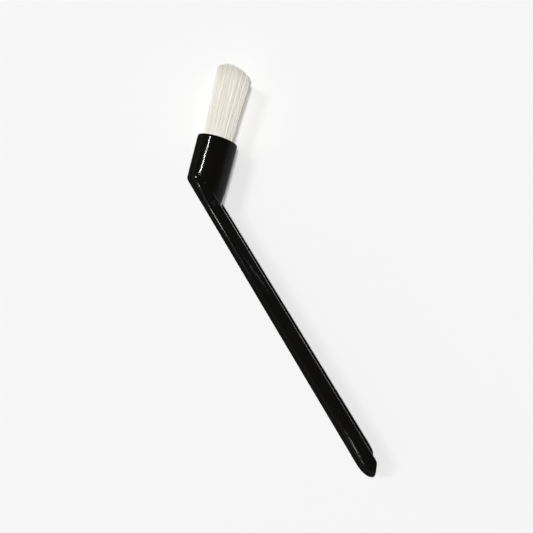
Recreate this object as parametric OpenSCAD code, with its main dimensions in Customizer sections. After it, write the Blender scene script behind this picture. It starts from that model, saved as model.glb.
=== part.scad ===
// Angled crevice brush, lying on its side with its bend in the XY plane.
// The handle is one moulding: a round barrel, a bend, and an arm with an open hollow face.
// The origin is the bend point, where the barrel's axis meets the axis of the round neck.
// The arm runs from there along -Y to the tail, and its open face looks along +X.

/* [Barrel] */
// Outside diameter of the barrel that holds the bristles
barrel_d = 18.7; // [16:0.1:22]
// Length of the barrel's axis from the bend point to the mouth
barrel_len = 16.9; // [14:0.1:26]
// Thickness of the wall round the bristle socket
socket_wall = 2.4; // [1.6:0.1:3.2]
// Depth of the bristle socket below the mouth
socket_depth = 15.5; // [9:0.5:16]
// Rounding of the mouth's outer and inner edges
mouth_round = 0.5; // [0.2:0.1:0.7]

/* [Bend] */
// Angle between the barrel's axis and the arm's axis
bend_angle = 46; // [38:1:56]
// Radius of the rounded outer corner of the bend
corner_round = 3; // [2:0.1:5]
// Length over which the round neck narrows to the arm
neck_len = 17; // [15:0.5:24]

/* [Arm] */
// Distance from the bend point to the tip of the tail
arm_len = 154.4; // [110:0.1:190]
// Width of the arm where it leaves the neck
neck_w = 13; // [11.5:0.1:16]
// Width of the arm at the tail
tail_w = 15.6; // [12:0.1:18]
// Depth of the arm, from its round back to its flat rim, at the neck
neck_depth = 7.6; // [7:0.1:9]
// Depth of the arm at the tail
tail_depth = 9.2; // [8:0.1:11]
// Thickness of the arm's shell at the tail
arm_wall = 1.8; // [1.4:0.1:2.4]
// Thickness of the arm's shell at the neck, where the bending load is highest
neck_wall = 2.3; // [1.6:0.1:2.8]
// Rounding of the rim's outer edges
rim_round = 0.45; // [0.2:0.05:0.7]

/* [Tail] */
// Length over which the back curves up to the tip
nose_back = 8.6; // [6:0.1:12]
// Length over which the rim slopes down to the tip
nose_slope = 4.5; // [3:0.1:6]
// Height of the tip above the line of the back
nose_tip = 3.9; // [3:0.1:5]
// Thickness of the wall that closes the hollow at the tail
end_wall = 2.2; // [1.6:0.1:3.5]
// Diameter of the stub that is left where the moulding gate was cut
gate_d = 1.1; // [0.8:0.1:1.6]
// Height of that stub
gate_h = 0.7; // [0.4:0.1:1.2]

/* [Bristles] */
// Rows of strands across the root, which holds the square of this number of strands
strand_rows = 20; // [18:1:22]
// Distance across one strand
strand_d = 0.4; // [0.3:0.02:0.46]
// Length of the strands beyond the mouth
free_len = 32.3; // [20:0.1:45]
// Diameter of the tuft at its tips
tip_d = 16.6; // [14:0.1:19]
// How much the cut lengths differ
tip_scatter = 0.5; // [0:0.1:1]
// Thickness of the slice in which the roots are fused together
root_slice = 1.6; // [1:0.1:3]
// Thickness of the resin bed under the roots
resin_bed = 2; // [1:0.1:3]
// Gap between the tuft's root and the socket's wall
root_gap = 0.1; // [0.05:0.05:0.3]

/* [Hidden] */
$fn = 96;

barrel_r = barrel_d / 2;
socket_r = barrel_r - socket_wall;
half_bend = bend_angle / 2;
// The bend's outer corner turns about a line this far from both axes
pivot_in = barrel_r - corner_round;
// Distance from the bend point at which the bend's round corner starts and ends
corner_run = pivot_in * tan(half_bend);
// Points along half of a section's outline, and along the rounding of a rim edge
section_steps = 15;
edge_steps = 3;
// Overshoot of every cutting solid
cut = 1.5;
// The neck is wider than the barrel's foot by this much on each side
foot_lip = 0.03;
// The barrel's foot reaches this far below the rim plane, so that it merges with the neck
foot_sink = 0.3;
// Height above the bend point at which the barrel's draft starts, and its draft below that
collar = 0.45;
root_draft = 0.02;
// The neck and the bend's corner reach this far past the plane in which arm and barrel meet
mitre_overlap = 0.15;
// Thinnest slice used to pin down the ends of the bend
slice = 0.02;

// A share that goes from 1 at the start to 0 at the end, level at both ends
function ease(t) = (1 + cos(180 * min(1, max(0, t)))) / 2;

// Rise of a quarter ellipse: 0 at its full length from the tip, 1 at the tip
function round_off(from_tip, length) =
    from_tip >= length ? 0 : 1 - sqrt(max(0, 1 - pow(1 - from_tip / length, 2)));

// Half the width of a rounded plan end, as a share of the full half width
function plan_end(from_tip, length) =
    from_tip >= length ? 1 : sqrt(max(0, 1 - pow(1 - from_tip / length, 2)));

// The arm's straight taper, y is the distance from the bend point towards the tail
function along(y) = min(1, max(0, y / arm_len));
function arm_depth(y) = neck_depth + (tail_depth - neck_depth) * y / arm_len;
function arm_half(y) = (neck_w + (tail_w - neck_w) * along(y)) / 2;
function shell(y) = neck_wall + (arm_wall - neck_wall) * along(y);
function back_x(y) = -barrel_r - (arm_depth(y) - neck_depth) / 2;
function rim_x(y) = back_x(y) + arm_depth(y);

// Half width of the barrel's footprint on the rim plane, which the neck has to carry
foot_mid = -rim_x(0) / tan(bend_angle);
foot_r = barrel_r - foot_lip;
foot_half = foot_r / sin(bend_angle);
function foot_side(y) = foot_r * sqrt(max(0, 1 - pow((y - foot_mid) / foot_half, 2)));

// Half width at the rim: as round as the barrel at the bend, and eased down to the arm
tube_side = sqrt(neck_depth * (barrel_d - neck_depth));
function body_side(y) =
    max(arm_half(y) + (tube_side - arm_half(y)) * ease(y / neck_len), foot_side(y) + foot_lip);

// The rim's edge is rounded where the barrel's foot leaves room for it
function body_edge(y) = min(rim_round, max(foot_lip, 0.8 * (body_side(y) - foot_side(y))));

// One section as [x, z] points: a rounded rim edge, a wall, a round back and the same again
function section(low, top, side, edge) =
    let (depth = top - low)
    let (half = side > depth ? (side * side + depth * depth) / (2 * depth) : side)
    let (r = min(edge, depth / 4, side / 4))
    let (wall_top = top - r)
    let (middle = low + half)
    let (turn = wall_top >= middle ? 90 : acos((middle - wall_top) / half))
    let (wide = half * sin(turn))
    let (wall = max(0, wall_top - middle))
    let (run = wall + half * turn * PI / 180)
    let (edge_turn = 90 / edge_steps)
    let (right = [for (i = [edge_steps:-1:1])
        [wall_top + r * sin(i * edge_turn), wide - r * (1 - cos(i * edge_turn))]])
    let (path = [for (i = [0:section_steps])
        let (t = run * i / section_steps)
        let (angle = turn - (t - wall) / half * 180 / PI)
        t <= wall ? [wall_top - t, wide] : [middle - half * cos(angle), half * sin(angle)]])
    let (half_ring = concat(right, path))
    let (count = len(half_ring))
    concat(half_ring, [for (i = [count - 2:-1:0]) [half_ring[i][0], -half_ring[i][1]]]);

// The solid arm: its section at a distance y from the bend point
function body_ring(y) =
    let (tip = arm_len - y)
    let (low = back_x(y) + nose_tip * round_off(tip, nose_back))
    let (slope = max(0, 1 - tip / nose_slope))
    let (top = rim_x(y) - (arm_depth(y) - nose_tip) * slope)
    let (side = body_side(y) * plan_end(tip, tail_w / 2))
    [for (p = section(low, top, side, body_edge(y))) [p[0], -y, p[1]]];

// The hollow: the same section, one shell thickness inside
hollow_end = arm_len - nose_slope - end_wall;
hollow_rise = tail_depth;
function hollow_ring(y) =
    let (tip = hollow_end - y)
    let (depth = arm_depth(y) - shell(y))
    let (low = back_x(y) + shell(y) + depth * round_off(tip, hollow_rise))
    let (side = (body_side(y) - shell(y)) * plan_end(tip, tail_w / 2 - arm_wall))
    [for (p = section(low, rim_x(y) + cut, side, rim_round)) [p[0], -y, p[1]]];

// Skin over a list of rings, each with the same number of points
module skin(rings) {
    size = len(rings[0]);
    last = len(rings) - 1;
    sides = [for (i = [0:last - 1], k = [0:size - 1])
        let (a = i * size + k, b = i * size + (k + 1) % size)
        each [[a, b + size, b], [a, a + size, b + size]]];
    start = [for (k = [0:size - 1]) k];
    end = [for (k = [size - 1:-1:0]) last * size + k];
    polyhedron([for (r = rings) each r], concat([start], sides, [end]));
}

// Distances from a tip at which a rounded end has its rings, close together at the tip
function end_stops(length, count) = [for (i = [count:-1:1]) length * (1 - cos(90 * i / count))];

// Puts a shape made round the Z axis onto the barrel's axis, with z = 0 at the bend point
module on_barrel() {
    rotate([0, 0, -bend_angle]) rotate([-90, 0, 0]) children();
}

// The barrel: straight from its mouth down to the collar, and from there a little drafted
module barrel_round() {
    full = barrel_len - mouth_round;
    depth = 2 * barrel_d;
    on_barrel() rotate_extrude() {
        polygon([[0, -depth], [barrel_r - root_draft * (depth + collar), -depth],
            [barrel_r, collar], [barrel_r, full], [0, full]]);
        translate([0, full]) square([barrel_r - mouth_round, mouth_round]);
        translate([barrel_r - mouth_round, full]) circle(r = mouth_round);
    }
}

// The barrel without what would stick out below the bend and below the arm's rim
module barrel_tube() {
    difference() {
        barrel_round();
        intersection() {
            below_rim();
            on_barrel() translate([0, 0, -corner_run - 2 * arm_len]) cylinder(r = 2 * barrel_d, h = 2 * arm_len);
        }
    }
}

// The rounded outer corner of the bend: the outer parts of round slices, turned about one line
module elbow() {
    slices = 6;
    outside = 2 * corner_round;
    hull() for (i = [0:slices])
        translate([-pivot_in, pivot_in * tan(half_bend), 0])
            rotate([0, 0, -bend_angle * i / slices])
                rotate([-90, 0, 0]) linear_extrude(slice, center = true) intersection() {
                    translate([pivot_in, 0]) circle(r = barrel_r, $fn = 64);
                    translate([mitre_overlap - outside, -barrel_r]) square([outside, barrel_d]);
                }
}

// Everything on the back's side of the rim plane, apart from a thin layer just below it
module below_rim() {
    ahead = barrel_len;
    reach = -2 * barrel_d;
    start = rim_x(-ahead) - foot_sink;
    end = rim_x(arm_len) - foot_sink;
    translate([0, 0, -barrel_d]) linear_extrude(2 * barrel_d)
        polygon([[start, ahead], [reach, ahead], [reach, -arm_len], [end, -arm_len]]);
}

// Everything on the arm's side of the plane in which the arm and the barrel meet
module arm_side() {
    reach = 2 * arm_len;
    rotate([0, 0, -half_bend]) translate([-reach, mitre_overlap - 2 * reach, -reach])
        cube(2 * reach);
}

// The solid arm with its neck and its rounded tail
module arm_body() {
    neck_rings = 9;
    arm_rings = 5;
    tail_rings = 12;
    straight_end = arm_len - nose_back;
    stops = concat(
        [for (i = [0:neck_rings]) -corner_run + (neck_len + corner_run) * i / neck_rings],
        [for (i = [1:arm_rings]) neck_len + (straight_end - neck_len) * i / arm_rings],
        [for (tip = end_stops(nose_back, tail_rings)) if (tip < nose_back) arm_len - tip]);
    intersection() {
        skin([for (y = stops) body_ring(y)]);
        arm_side();
    }
}

// The hollow in the arm's open face, which ends against the barrel's round wall
module hollow() {
    rows = 6;
    end_rings = 9;
    round_start = hollow_end - hollow_rise;
    stops = concat(
        [for (i = [0:rows]) neck_len * i / rows],
        [for (i = [1:rows]) neck_len + (round_start - neck_len) * i / rows],
        [for (tip = end_stops(hollow_rise, end_rings)) if (tip < hollow_rise) hollow_end - tip]);
    difference() {
        skin([for (y = stops) hollow_ring(y)]);
        barrel_round();
    }
}

// The blind bore that the bristles are set in, with a rounded edge at the mouth
module socket() {
    flare = mouth_round;
    on_barrel() {
        translate([0, 0, barrel_len - socket_depth]) cylinder(r = socket_r, h = socket_depth + cut);
        translate([0, 0, barrel_len - flare]) cylinder(r1 = socket_r, r2 = socket_r + flare, h = flare);
    }
}

// The stub of the moulding gate, on the sloping face of the tail
module gate_stub() {
    drop = tail_depth - nose_tip;
    slope_angle = atan2(nose_slope, drop);
    share = 0.4;
    translate([rim_x(arm_len) - drop * (1 - share), -arm_len + nose_slope * share, 0])
        rotate([0, 0, -slope_angle]) rotate([90, 0, 90])
            translate([0, 0, -gate_d]) cylinder(d = gate_d, h = gate_d + gate_h, $fn = 24);
}

// The handle: one black moulding
module handle() {
    color("#161514") difference() {
        union() {
            barrel_tube();
            elbow();
            arm_body();
            gate_stub();
        }
        socket();
        hollow();
    }
}

// The resin that the roots are bedded in, on the floor of the socket
module resin_bed_plug() {
    color("#8a7a52") on_barrel() translate([0, 0, barrel_len - socket_depth])
        cylinder(r = socket_r - root_gap / 2, h = resin_bed);
}

// A square from -1 to 1 mapped onto a disc of radius 1, with equal areas kept equal
function on_disc(u, v) =
    abs(u) < 1e-9 && abs(v) < 1e-9 ? [0, 0] :
    abs(u) > abs(v) ? u * [cos(45 * v / u), sin(45 * v / u)] :
    v * [cos(90 - 45 * u / v), sin(90 - 45 * u / v)];

// The bristle tuft: one strand to each cell of a slice of fused roots
module bristle_tuft() {
    n = strand_rows;
    root_r = socket_r - root_gap;
    tip_r = tip_d / 2;
    floor_z = barrel_len - socket_depth + resin_bed;
    root_z = floor_z + root_slice;
    pitch = 2 / n;
    strand_r = strand_d / 2;
    // Size of a strand in its square cell, where a unit is the root's radius
    cell_r = strand_r / root_r;
    cells = [for (i = [0:n - 1], j = [0:n - 1]) [i, j]];
    lean = rands(-0.12, 0.12, 2 * n * n, 7);
    cut_short = rands(0, tip_scatter, n * n, 11);

    // The slice: a grid on top, its rim below and the middle of its underside
    grid = [for (i = [0:n], j = [0:n])
        let (p = root_r * on_disc(-1 + pitch * i, -1 + pitch * j)) [p[0], p[1], root_z]];
    border = concat(
        [for (i = [0:n - 1]) i * (n + 1)],
        [for (j = [0:n - 1]) n * (n + 1) + j],
        [for (i = [n:-1:1]) i * (n + 1) + n],
        [for (j = [n:-1:1]) j]);
    edge = len(border);
    under = [for (k = border) [grid[k][0], grid[k][1], floor_z]];
    first_under = len(grid);
    middle = first_under + edge;

    // Three rings of three corners to a strand: at the root, at the mouth and at the tip
    first_strand = middle + 1;
    strands = [for (c = [0:n * n - 1])
        let (at = on_disc(-1 + pitch * (cells[c][0] + 0.5), -1 + pitch * (cells[c][1] + 0.5)))
        let (tip_at = tip_r / (1 + cell_r) * at + [lean[2 * c], lean[2 * c + 1]])
        let (tip_z = barrel_len + free_len - cut_short[c])
        for (level = [0:2], k = [0:2])
            let (corner = strand_r * [cos(90 + 120 * k), sin(90 + 120 * k)])
            let (p = (level == 2 ? tip_at : root_r * at) + corner)
            [p[0], p[1], [root_z, barrel_len, tip_z][level]]];

    slice_faces = [for (k = [0:edge - 1])
        let (next = (k + 1) % edge)
        let (a = first_under + k, b = first_under + next)
        each [[a, border[next], b], [a, border[k], border[next]], [middle, a, b]]];
    cell_faces = [for (c = [0:n * n - 1])
        let (a = cells[c][0] * (n + 1) + cells[c][1])
        let (b = a + n + 1, d = a + 1, e = b + 1)
        let (s = first_strand + 9 * c, t = s + 1, w = s + 2)
        each [[e, s, d], [d, t, a], [d, s, t], [a, w, b], [a, t, w], [b, s, e], [b, w, s]]];
    strand_faces = [for (c = [0:n * n - 1])
        let (s = first_strand + 9 * c)
        each concat(
            [for (level = [0:1], k = [0:2])
                let (a = s + 3 * level + k, b = s + 3 * level + (k + 1) % 3)
                each [[a, b + 3, b], [a, a + 3, b + 3]]],
            [[s + 6, s + 8, s + 7]])];

    color("#e6e2d6") on_barrel()
        polyhedron(
            concat(grid, under, [[0, 0, floor_z]], strands),
            concat(slice_faces, cell_faces, strand_faces));
}

handle();
resin_bed_plug();
bristle_tuft();
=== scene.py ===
# %% [markdown]
# # Crevice brush
# An angled cleaning brush lies on its side on a pale table: a black gloss handle, and a round
# tuft of ivory nylon strands in its barrel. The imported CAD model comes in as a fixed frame, in
# metres. Its origin is the bend of the handle, the arm runs along -Y, and +Z points up from the
# table. Every piece built below is measured against that frame.

import math

import bpy
import numpy as np
from mathutils import Matrix, Vector


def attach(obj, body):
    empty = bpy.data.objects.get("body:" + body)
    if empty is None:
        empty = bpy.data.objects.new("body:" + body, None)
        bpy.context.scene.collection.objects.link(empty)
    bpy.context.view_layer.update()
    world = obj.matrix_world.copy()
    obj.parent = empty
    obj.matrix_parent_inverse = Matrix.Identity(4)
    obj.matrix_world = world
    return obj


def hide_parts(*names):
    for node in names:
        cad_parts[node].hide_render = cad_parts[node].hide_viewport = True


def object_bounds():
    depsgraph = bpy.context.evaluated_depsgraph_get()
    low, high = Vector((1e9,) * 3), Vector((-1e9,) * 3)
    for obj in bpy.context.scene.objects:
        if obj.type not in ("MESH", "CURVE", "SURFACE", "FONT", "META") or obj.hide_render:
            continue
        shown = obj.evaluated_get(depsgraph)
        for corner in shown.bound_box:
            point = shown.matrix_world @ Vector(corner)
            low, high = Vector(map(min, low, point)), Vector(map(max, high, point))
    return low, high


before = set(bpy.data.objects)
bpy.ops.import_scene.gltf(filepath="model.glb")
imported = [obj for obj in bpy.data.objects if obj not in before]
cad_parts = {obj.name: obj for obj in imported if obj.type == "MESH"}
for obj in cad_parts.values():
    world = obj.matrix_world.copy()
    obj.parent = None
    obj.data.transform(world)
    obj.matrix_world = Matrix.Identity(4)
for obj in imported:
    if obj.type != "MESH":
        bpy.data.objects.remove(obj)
cad_low, cad_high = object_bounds()
print("CAD box in mm:", [round(1000 * s, 1) for s in cad_high - cad_low])

# %% [markdown]
# ## Camera
# The photograph looks down on the brush from about 20 cm, close enough for a strong perspective:
# the camera sees the far side of the barrel's mouth and a sliver of the arm's open face. The
# place and the lens below put the bend, the mouth, the tuft's corners and the tail where the
# photograph has them. The camera's own axes are given directly, because it looks almost straight
# down, where an aim and an up direction say less than the axes do.

# %% Place the camera
MM = 0.001


def put(name, data):
    """A new object in the scene that holds this data."""
    obj = bpy.data.objects.new(name, data)
    bpy.context.scene.collection.objects.link(obj)
    return obj


camera_data = bpy.data.cameras.new("camera")
camera_data.lens = 29.03
camera_data.sensor_width = 36
camera_data.clip_start = 0.01
camera_data.clip_end = 20
camera = put("camera", camera_data)
bpy.context.scene.camera = camera

backward = Vector((0.0822, -0.0471, 0.9955)).normalized()
to_right = Vector((0.5188, 0.8549, -0.0024)).cross(backward).normalized()
upward = backward.cross(to_right)
turn = Matrix((to_right, upward, backward)).transposed()
place = Vector((17.38, -58.88, 195.37)) * MM
camera.matrix_world = Matrix.Translation(place) @ turn.to_4x4()
print("camera height above the bend:", round(place.z / MM), "mm")

# %% [markdown]
# ## Colours and nodes
# Colours are written as the hex values that a colour picker shows, and shaders work in linear
# light, so one function turns the first into the second. A second function adds any node, sets
# its own settings, and gives each input either a value or a link. Every shader recipe below is
# a short list of such calls.

# %% Prepare colours and nodes


def linear(hex_code):
    """The linear RGBA of an sRGB hex code such as #f7f7f7."""
    parts = [int(hex_code[i : i + 2], 16) / 255 for i in (1, 3, 5)]
    rgb = [p / 12.92 if p <= 0.04045 else ((p + 0.055) / 1.055) ** 2.4 for p in parts]
    return (*rgb, 1.0)


def add(tree, kind, settings, inputs):
    """A new node with its settings, and a value or a link on each named input."""
    node = tree.nodes.new(kind)
    node.location = (220 * (len(tree.nodes) - 1), 0)
    for name, value in settings.items():
        setattr(node, name, value)
    for name, value in inputs.items():
        if isinstance(value, bpy.types.NodeSocket):
            tree.links.new(value, node.inputs[name])
        else:
            node.inputs[name].default_value = value
    return node


def empty_tree(owner):
    """The owner's node tree with nothing in it."""
    owner.use_nodes = True
    owner.node_tree.nodes.clear()
    return owner.node_tree


PALE = linear("#f7f7f7")
print("the pale backdrop in linear light:", [round(c, 3) for c in PALE[:3]])

# %% [markdown]
# ## Table
# The table is a wide sheet under the lowest point of the barrel, with a backdrop colour that
# runs on past its edge. Three tenths of its brightness are its own, which keeps it even over the
# whole picture. The rest is lit, so that the brush still throws its soft shadow.

# %% Build the table
HALF_TABLE = 1.2
LIT_SHARE = 0.7
table_z = cad_low.z
corners = [(-1, -1), (1, -1), (1, 1), (-1, 1)]
table_mesh = bpy.data.meshes.new("table")
table_mesh.from_pydata(
    [(HALF_TABLE * x, HALF_TABLE * y, table_z) for x, y in corners], [], [(0, 1, 2, 3)]
)
table = put("table", table_mesh)

paper = bpy.data.materials.new("pale_matt_paper")
tree = empty_tree(paper)
lit = add(tree, "ShaderNodeBsdfDiffuse", {}, {"Color": PALE})
own = add(tree, "ShaderNodeEmission", {}, {"Color": PALE, "Strength": 1.0})
mixed = add(
    tree, "ShaderNodeMixShader", {}, {"Fac": LIT_SHARE, 1: own.outputs[0], 2: lit.outputs[0]}
)
add(tree, "ShaderNodeOutputMaterial", {}, {"Surface": mixed.outputs[0]})
table_mesh.materials.append(paper)
print("table:", 2 * HALF_TABLE, "m wide, at", round(table_z / MM, 2), "mm")

# %% [markdown]
# ## Surroundings
# A black gloss handle shows its surroundings more than its own colour. In the photograph its
# upper faces stay black, so the room above is dark, and only its edges mirror the pale table.
# The world is therefore dark overhead and a little paler at the horizon. The camera itself,
# where it looks past the table, sees the same pale backdrop as the table. The gloss doesn't:
# it mirrors about four hundredths of what it faces, and that much of a pale sky would turn the
# handle dark grey.

# %% Set the surroundings
HORIZON = 0.12
OVERHEAD = 0.015
FADED_AT = 0.5
world = bpy.data.worlds.new("studio")
bpy.context.scene.world = world
tree = empty_tree(world)
place_in_sky = add(tree, "ShaderNodeTexCoord", {}, {})
parts = add(tree, "ShaderNodeSeparateXYZ", {}, {"Vector": place_in_sky.outputs["Generated"]})
height = add(
    tree,
    "ShaderNodeMapRange",
    {"interpolation_type": "SMOOTHSTEP"},
    {
        "Value": parts.outputs["Z"],
        "From Min": 0.0,
        "From Max": FADED_AT,
        "To Min": HORIZON,
        "To Max": OVERHEAD,
    },
)
room = add(tree, "ShaderNodeBackground", {}, {"Color": PALE, "Strength": height.outputs[0]})
backdrop = add(tree, "ShaderNodeBackground", {}, {"Color": PALE, "Strength": 1.0})
ray = add(tree, "ShaderNodeLightPath", {}, {})
sky = add(
    tree,
    "ShaderNodeMixShader",
    {},
    {"Fac": ray.outputs["Is Camera Ray"], 1: room.outputs[0], 2: backdrop.outputs[0]},
)
add(tree, "ShaderNodeOutputWorld", {}, {"Surface": sky.outputs[0]})
print("room light:", HORIZON, "at the horizon and", OVERHEAD, "overhead")

# %% [markdown]
# ## Lamps
# The thin bright line along the barrel is the mirror image of one narrow lamp. Mirroring the
# camera's view in the barrel at five points of the line gives the lamp's place, high at the
# upper left of the picture. The marks on the neck and the tail, and the fine bluish line on the
# arm, come from four weak lamps. Some were placed in the same way, and all were then tuned
# against the photograph. About three quarters of the light on the table and the bristles
# come from a lamp high above, nearly in line with the camera, which keeps the shadow narrow. A
# wide sheet on the left softens it. These two are hidden from the gloss, where the first would
# leave a white patch on the black handle and the second a dark grey one.

# %% Place the lamps
COOL = "#d5deff"


def strip_lamp(name, start, end, width, radiance, colour="#ffffff"):
    """A straight narrow lamp from start to end, facing the brush, of an even radiance."""
    start, end = Vector(start), Vector(end)
    length = (end - start).length
    data = bpy.data.lights.new(name, "AREA")
    data.shape = "RECTANGLE"
    data.size = length
    data.size_y = width
    data.energy = radiance * math.pi * length * width
    data.color = linear(colour)[:3]
    lamp = put(name, data)
    middle = (start + end) / 2
    along = (end - start).normalized()
    away = (middle - along * middle.dot(along)).normalized()
    turned = Matrix((along, away.cross(along), away)).transposed()
    lamp.matrix_world = Matrix.Translation(middle) @ turned.to_4x4()
    print(name, "length", round(length, 2), "m, power", round(data.energy, 2), "W")
    return lamp


strip_lamp("key_lamp", (-0.36, 1.27, 2.14), (-0.94, 1.345, 1.92), 0.035, 170)
strip_lamp("neck_lamp", (-1.0, 0.16, 0.30), (-1.0, 0.23, 0.32), 0.05, 24)
strip_lamp("arm_lamp", (-1.0, 0.02, 0.28), (-1.0, 0.15, 0.30), 0.03, 2.5, COOL)
strip_lamp("tail_lamp", (-1.0, -0.57, 0.30), (-1.0, -0.57, 0.60), 0.02, 7)
strip_lamp("window_edge", (-0.66, 0.05, 0.76), (-0.23, -0.03, 0.98), 0.008, 3, COOL)
left_sheet = strip_lamp("left_sheet", (-2.6, 0.4, 3.0), (0.6, 3.4, 3.4), 2.8, 0.4)
left_sheet.visible_glossy = False
overhead = strip_lamp("overhead_lamp", (-0.05, -0.24, 3.0), (0.45, -0.24, 3.0), 0.5, 87)
overhead.visible_glossy = False

# %% [markdown]
# ## Cards
# On white paper a gloss black handle would have wide grey borders, because its lower half
# mirrors the paper. The photograph has almost none on the left and a grey one on the right, as
# when a black card and a grey card are laid beside a shiny object. A white strip under the arm's
# rim gives the thin pale line there. Here the cards are seen by the gloss alone: they throw no
# shadow and give no light.

# %% Lay the cards
FAR = 900
ABOVE_TABLE = 0.1 * MM


def card(name, outline, hex_code):
    """A flat card on the table, in mm, that only mirror-like surfaces see."""
    level = table_z + ABOVE_TABLE
    mesh = bpy.data.meshes.new(name)
    corners = [(x * MM, y * MM, level) for x, y in outline]
    mesh.from_pydata(corners, [], [tuple(range(len(corners)))])
    matt = bpy.data.materials.new(name)
    tree = empty_tree(matt)
    shade = add(tree, "ShaderNodeEmission", {}, {"Color": linear(hex_code), "Strength": 1.0})
    add(tree, "ShaderNodeOutputMaterial", {}, {"Surface": shade.outputs[0]})
    mesh.materials.append(matt)
    obj = put(name, mesh)
    obj.visible_camera = False
    obj.visible_diffuse = False
    obj.visible_shadow = False
    print(name, hex_code, "with", len(corners), "corners")


left_side = [(-FAR, -FAR), (-12, -FAR), (-12, 2), (6, 20), (FAR, 880), (-FAR, 880)]
right_side = [(2.2, -FAR), (FAR, -FAR), (FAR, 860), (19, 7), (2.2, -9.8)]
under_rim = [(-1, -FAR), (2.2, -FAR), (2.2, -9.8), (-1, -13)]
card("black_card", left_side, "#333333")
card("grey_card", right_side, "#88868c")
card("rim_card", under_rim, "#fbfaff")

# %% [markdown]
# ## Black moulded plastic
# The handle is glossy polypropylene or ABS, straight from a polished mould. Its colour is almost
# nothing: what the eye reads is the gloss. Small irregularities keep it from looking like glass.
# A shallow wave, a few millimetres long and a few hundredths of a millimetre deep, makes the long
# highlight wander and break up as on the real part, and the polish varies with it. The mould's
# own grain is too fine to show, so it is drawn about a third of a millimetre wide.

# %% Make the handle's plastic
WAVE_LENGTH, WAVE_DEPTH = 3.0 * MM, 0.03 * MM
GRAIN_LENGTH, GRAIN_DEPTH = 0.35 * MM, 0.002 * MM
FLOW_LENGTH = 12 * MM
black = bpy.data.materials.new("gloss_black_moulded_plastic")
tree = empty_tree(black)
where = add(tree, "ShaderNodeTexCoord", {}, {}).outputs["Object"]
wave = add(
    tree,
    "ShaderNodeTexNoise",
    {},
    {"Vector": where, "Scale": 1 / WAVE_LENGTH, "Detail": 1.5, "Roughness": 0.5},
)
grain = add(
    tree,
    "ShaderNodeTexNoise",
    {},
    {"Vector": where, "Scale": 1 / GRAIN_LENGTH, "Detail": 2.0, "Roughness": 0.6},
)
wave_bump = add(
    tree,
    "ShaderNodeBump",
    {},
    {"Height": wave.outputs[0], "Strength": 1.0, "Distance": WAVE_DEPTH},
)
bump = add(
    tree,
    "ShaderNodeBump",
    {},
    {
        "Height": grain.outputs[0],
        "Strength": 1.0,
        "Distance": GRAIN_DEPTH,
        "Normal": wave_bump.outputs[0],
    },
)
polish = add(
    tree,
    "ShaderNodeMapRange",
    {},
    {"Value": wave.outputs[0], "From Min": 0.3, "From Max": 0.7, "To Min": 0.07, "To Max": 0.12},
)
flow = add(
    tree, "ShaderNodeTexNoise", {}, {"Vector": where, "Scale": 1 / FLOW_LENGTH, "Detail": 2.0}
)
tint = add(
    tree,
    "ShaderNodeMix",
    {"data_type": "RGBA"},
    {"Factor": flow.outputs[0], 6: linear("#0b0b0a"), 7: linear("#12110f")},
)
shader = add(
    tree,
    "ShaderNodeBsdfPrincipled",
    {},
    {
        "Base Color": tint.outputs[2],
        "Roughness": polish.outputs[0],
        "IOR": 1.49,
        "Normal": bump.outputs[0],
    },
)
add(tree, "ShaderNodeOutputMaterial", {}, {"Surface": shader.outputs[0]})
print(black.name, "nodes:", len(tree.nodes))

# %% [markdown]
# ## Tail slope
# The handle's tail ends in a slope that is longer in the photograph than in the CAD. A copy of
# the CAD handle is cut there with a wedge. A boolean cut leaves one flat face in a closed mesh,
# where moving the old corners onto the slope leaves slivers.

# %% Copy the handle and cut its tail
WEDGE_REACH = 12 * MM
handle = put("handle_moulding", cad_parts["handle"].data.copy())
weld = handle.modifiers.new("weld", "WELD")
weld.merge_threshold = 0.001 * MM

slope_start, slope_end = Vector((-0.95, -146.5, 0)) * MM, Vector((-6.25, -154.4, 0)) * MM
past = (slope_end - slope_start) / 2
profile = [slope_start - past, slope_end + past]
profile += [Vector((WEDGE_REACH, point.y, 0)) for point in reversed(profile)]
spots = [point + Vector((0, 0, z)) for z in (-WEDGE_REACH, WEDGE_REACH) for point in profile]
walls = [(0, 1, 5, 4), (1, 2, 6, 5), (2, 3, 7, 6), (3, 0, 4, 7), (3, 2, 1, 0), (4, 5, 6, 7)]
wedge_mesh = bpy.data.meshes.new("wedge")
wedge_mesh.from_pydata(spots, [], walls)
wedge = put("wedge", wedge_mesh)
slope_cut = handle.modifiers.new("slope_cut", "BOOLEAN")
slope_cut.object = wedge
slope_cut.operation = "DIFFERENCE"
slope_cut.solver = "EXACT"
print("tail slope:", round((slope_end - slope_start).length / MM, 1), "mm long")

# %% [markdown]
# ## Handle skin
# The CAD handle has true sizes but is made of flat and cylindrical patches that meet in sharp
# lines. A moulding has none: where barrel, neck and arm meet, plastic flows round every corner.
# These lines fade from sharp to nothing, which a bevel of one width doesn't follow, so the cut
# copy is rebuilt as a fine even skin, a third of a millimetre to a face, and relaxed a few times.
# That rounds each meeting line by about half a millimetre.

# %% Build the moulded handle


def settled(obj):
    """A new mesh with the object's modifiers in it."""
    graph = bpy.context.evaluated_depsgraph_get()
    return bpy.data.meshes.new_from_object(obj.evaluated_get(graph), depsgraph=graph)


skin = handle.modifiers.new("skin", "REMESH")
skin.mode = "VOXEL"
skin.voxel_size = 0.33 * MM
relax = handle.modifiers.new("relax", "SMOOTH")
relax.factor = 0.5
relax.iterations = 6
smooth_mesh = settled(handle)
handle.modifiers.clear()
handle.data = smooth_mesh
bpy.data.objects.remove(wedge)
handle.data.materials.clear()
handle.data.materials.append(black)
handle.data.polygons.foreach_set("use_smooth", [True] * len(handle.data.polygons))
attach(handle, "root")
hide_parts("handle")
print("handle faces:", len(handle.data.polygons))

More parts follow.
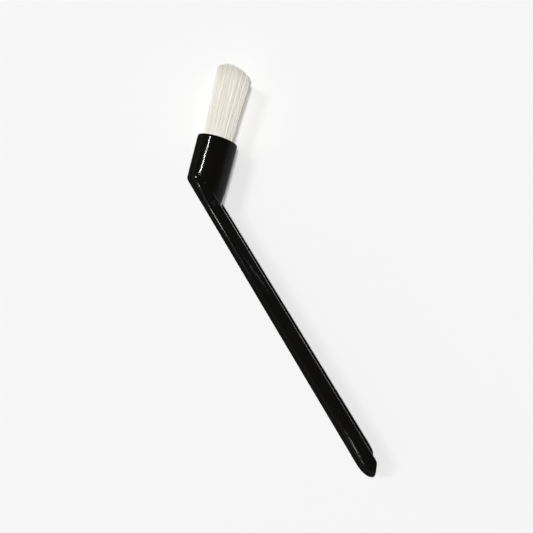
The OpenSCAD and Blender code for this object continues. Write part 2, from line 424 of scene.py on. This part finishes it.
# %% [markdown]
# ## Gate stub
# Plastic enters the mould through a gate, which is broken off afterwards and leaves a stub. It is
# finer than the new skin can hold, so it is made by itself, on the sloping face of the tail: a
# plug 1.1 mm across that stands 0.7 mm out, with a torn end. Each ring of the plug is given as
# its height above the slope and its radius, in mm.

# %% Build the gate stub
AROUND = 16
STUB_RINGS = [(-0.6, 0.62), (0.0, 0.6), (0.15, 0.55), (0.55, 0.53), (0.7, 0.4)]
TEAR_DEPTH, TORN_ABOVE = 0.08, 0.5
ALONG_SLOPE = 0.69

slope = math.atan2(slope_start.x - slope_end.x, slope_start.y - slope_end.y)
outward = Vector((math.cos(slope), -math.sin(slope), 0))
stub_foot = slope_start.lerp(slope_end, ALONG_SLOPE)
spots = []
for height, radius in STUB_RINGS:
    for i in range(AROUND):
        turn_angle = 2 * math.pi * i / AROUND
        torn = TEAR_DEPTH * math.sin(3 * turn_angle) * (height > TORN_ABOVE)
        aside = Vector((-outward.y, outward.x, 0)) * math.cos(turn_angle)
        spot = aside + Vector((0, 0, 1)) * math.sin(turn_angle)
        spots.append(stub_foot + (spot * radius + outward * (height + torn)) * MM)
last_ring = len(spots) - AROUND
skins = [tuple(reversed(range(AROUND))), tuple(range(last_ring, len(spots)))]
for r in range(0, last_ring, AROUND):
    for i in range(AROUND):
        j = (i + 1) % AROUND
        skins.append((r + i, r + j, r + AROUND + j, r + AROUND + i))
stub_mesh = bpy.data.meshes.new("gate_stub")
stub_mesh.from_pydata(spots, [], skins)
stub_mesh.materials.append(black)
stub = put("gate_stub", stub_mesh)
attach(stub, "root")
print("gate stub faces:", len(stub_mesh.polygons))

# %% [markdown]
# ## Ivory nylon
# Nylon strands are drawn and then cut, and slightly see-through: light that enters one leaves it
# a little further on, and the tuft looks softer than paint of the same colour. Each strand has
# its own tone, and dust and cut ends make some of them greyer. The tone is stored on the mesh,
# one number to a strand. A weak glow stands for light that wanders between strands more often
# than the renderer follows it. Its strength was chosen by comparing the tuft with the photograph.

# %% Make the strands' nylon
SCUFF_LENGTH = 0.5 * MM
nylon = bpy.data.materials.new("ivory_drawn_nylon")
tree = empty_tree(nylon)
tone = add(tree, "ShaderNodeAttribute", {"attribute_name": "tone"}, {})
colour = add(
    tree,
    "ShaderNodeMix",
    {"data_type": "RGBA"},
    {"Factor": tone.outputs["Fac"], 6: linear("#ddd8cb"), 7: linear("#fdfbf3")},
)
where = add(tree, "ShaderNodeTexCoord", {}, {}).outputs["Object"]
scuff = add(
    tree, "ShaderNodeTexNoise", {}, {"Vector": where, "Scale": 1 / SCUFF_LENGTH, "Detail": 2.0}
)
dull = add(
    tree,
    "ShaderNodeMapRange",
    {},
    {"Value": scuff.outputs[0], "From Min": 0.3, "From Max": 0.7, "To Min": 0.38, "To Max": 0.58},
)
shader = add(
    tree,
    "ShaderNodeBsdfPrincipled",
    {},
    {
        "Base Color": colour.outputs[2],
        "Roughness": dull.outputs[0],
        "IOR": 1.53,
        "Subsurface Weight": 0.5,
        "Subsurface Radius": (1.0, 0.9, 0.75),
        "Subsurface Scale": 0.6 * MM,
        "Emission Color": colour.outputs[2],
        "Emission Strength": 0.13,
    },
)
add(tree, "ShaderNodeOutputMaterial", {}, {"Surface": shader.outputs[0]})
print(nylon.name, "nodes:", len(tree.nodes))

# %% [markdown]
# ## Tuft roots and tips
# Some 1700 strands, 0.32 mm thick, are set side by side in the socket. Their roots are spread
# like the seeds of a sunflower, which fills a disc evenly. They are cut nearly flat, and worn
# shorter by up to 1.8 mm on one side, as in the photograph. A few strays lean out further and are
# shorter. Lengths along the barrel's axis are measured from the bend, as in the CAD.

# %% Plant the strands
STRANDS = 1700
GOLDEN_TURN = 3 - math.sqrt(5)
ROOT_S, MOUTH_S, TIP_S = 3.5 * MM, 16.9 * MM, 49.15 * MM
LEAN, BOW = 0.10 * MM, 0.12 * MM
STRAY_SHARE, STRAY_LEAN, STRAY_SHORTER = 0.012, 5, 1.5 * MM
UNEVEN_CUT = 0.9 * MM
WORN_BY, WORN_BEYOND, WORN_CURVE = 1.8 * MM, 0.1, 1.5

rng = np.random.default_rng(46)
index = np.arange(STRANDS)
share = np.sqrt((index + 0.5) / STRANDS)
angle = index * math.pi * GOLDEN_TURN + rng.normal(0, 0.02, STRANDS)
disc = np.stack([share * np.cos(angle), share * np.sin(angle)], 1)
lean = rng.normal(0, LEAN, (STRANDS, 2))
bow = rng.normal(0, BOW, (STRANDS, 2))
stray = rng.random(STRANDS) < STRAY_SHARE
lean[stray] *= STRAY_LEAN
worn = np.clip((disc[:, 0] + WORN_BEYOND) / (1 + WORN_BEYOND), 0, 1) ** WORN_CURVE
length = TIP_S - rng.uniform(0, UNEVEN_CUT, STRANDS) - WORN_BY * worn
length[stray] -= rng.uniform(0, STRAY_SHORTER, int(stray.sum()))
print("strays:", int(stray.sum()), "shortest tip at", round(length.min() / MM, 1), "mm")

# %% [markdown]
# ## Strand paths
# Inside the barrel the strands run parallel. Above the mouth they fan out a little, each with
# its own lean and a slight bow. Eight stations along each strand are enough for so slight a curve,
# and arrays place the stations of all strands at once, which is much faster than a loop.

# %% Bend the strands
BEND = math.radians(46)
STATIONS = 8
ROOT_R, TIP_R = 6.7 * MM, 8.12 * MM
FAN_CURVE = 1.15

axis = np.array([math.sin(BEND), math.cos(BEND), 0.0])
across = np.array([math.cos(BEND), -math.sin(BEND), 0.0])
up = np.array([0.0, 0.0, 1.0])
t = np.linspace(0, 1, STATIONS)
s = ROOT_S + (length[:, None] - ROOT_S) * t
free = np.clip((s - MOUTH_S) / (TIP_S - MOUTH_S), 0, None)
spread = ROOT_R + (TIP_R - ROOT_R) * free**FAN_CURVE
offset = disc[:, None, :] * spread[:, :, None]
offset += lean[:, None, :] * free[:, :, None]
offset += bow[:, None, :] * np.sin(np.pi * np.clip(free, 0, 1))[:, :, None]
centre = s[:, :, None] * axis + offset[:, :, :1] * across + offset[:, :, 1:] * up
print("widest point of the tuft:", round(2 * np.abs(offset).max() / MM, 1), "mm across")

# %% [markdown]
# ## Strand skins
# A strand is a four-sided tube, closed at both ends, with a ring of corners at each station. Four
# sides are enough for a strand less than a pixel wide. All strands are one mesh, so they share one
# material, and a wavy pattern across the tuft gives neighbours a like tone.

# %% Build the tuft's mesh
SIDES = 4
STRAND_R = 0.16 * MM

corner = np.arange(SIDES) * 2 * math.pi / SIDES
ring = STRAND_R * (np.cos(corner)[:, None] * across + np.sin(corner)[:, None] * up)
points = (centre[:, :, None, :] + ring).reshape(-1, 3)
base = np.arange(STRANDS)[:, None, None] * STATIONS * SIDES
level = np.arange(STATIONS - 1)[None, :, None] * SIDES
k = np.arange(SIDES)[None, None, :]
a = base + level + k
b = base + level + (k + 1) % SIDES
walls = np.stack([a, a + SIDES, b + SIDES, b], -1).reshape(-1, 4)
roots = base[:, :, 0] + np.arange(SIDES)[None, :]
tops = base[:, :, 0] + (STATIONS - 1) * SIDES + np.arange(SIDES)[None, ::-1]
faces = np.concatenate([walls, roots, tops])
tuft_mesh = bpy.data.meshes.new("nylon_tuft")
tuft_mesh.from_pydata(points.tolist(), [], faces.tolist())
tuft_mesh.polygons.foreach_set("use_smooth", [True] * len(tuft_mesh.polygons))
tuft_mesh.materials.append(nylon)

MIDDLE_TONE, CLUMP_TONE, STRAND_TONE = 0.62, 0.16, 0.28
clump = 0.5 + 0.5 * np.sin(17 * disc[:, 0] + 2 * np.sin(9 * disc[:, 1]) + 1.3)
own_tone = rng.normal(0, STRAND_TONE, STRANDS)
tones = np.clip(MIDDLE_TONE + CLUMP_TONE * (clump - 0.5) + own_tone, 0, 1)
attribute = tuft_mesh.attributes.new("tone", "FLOAT", "POINT")
attribute.data.foreach_set("value", np.repeat(tones, STATIONS * SIDES).astype(np.float32))
tuft = put("nylon_tuft", tuft_mesh)
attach(tuft, "root")
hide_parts("bristle_tuft")
print("strands:", STRANDS, "faces:", len(tuft_mesh.polygons))

# %% [markdown]
# ## Resin
# The roots stand in a plug of set resin on the socket's floor. It is out of sight, so the CAD
# node stays as it is, with an amber, slightly cloudy resin on it in case the brush is cut open.

# %% Make the resin
CLOUD_LENGTH = 2 * MM
resin = bpy.data.materials.new("amber_set_resin")
tree = empty_tree(resin)
where = add(tree, "ShaderNodeTexCoord", {}, {}).outputs["Object"]
cloud = add(
    tree, "ShaderNodeTexNoise", {}, {"Vector": where, "Scale": 1 / CLOUD_LENGTH, "Detail": 3.0}
)
amber = add(
    tree,
    "ShaderNodeMix",
    {"data_type": "RGBA"},
    {"Factor": cloud.outputs[0], 6: linear("#8f7a45"), 7: linear("#c2ab6f")},
)
shader = add(
    tree,
    "ShaderNodeBsdfPrincipled",
    {},
    {"Base Color": amber.outputs[2], "Roughness": 0.25, "IOR": 1.55},
)
add(tree, "ShaderNodeOutputMaterial", {}, {"Surface": shader.outputs[0]})
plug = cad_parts["resin_bed_plug"]
plug.data.materials.clear()
plug.data.materials.append(resin)
print("resin plug faces:", len(plug.data.polygons))

# %% [markdown]
# ## Finish
# Blender changes looks and not sizes. The picture is shown with the standard view transform.

# %% Set the standard view transform
bpy.context.scene.view_settings.view_transform = "Standard"
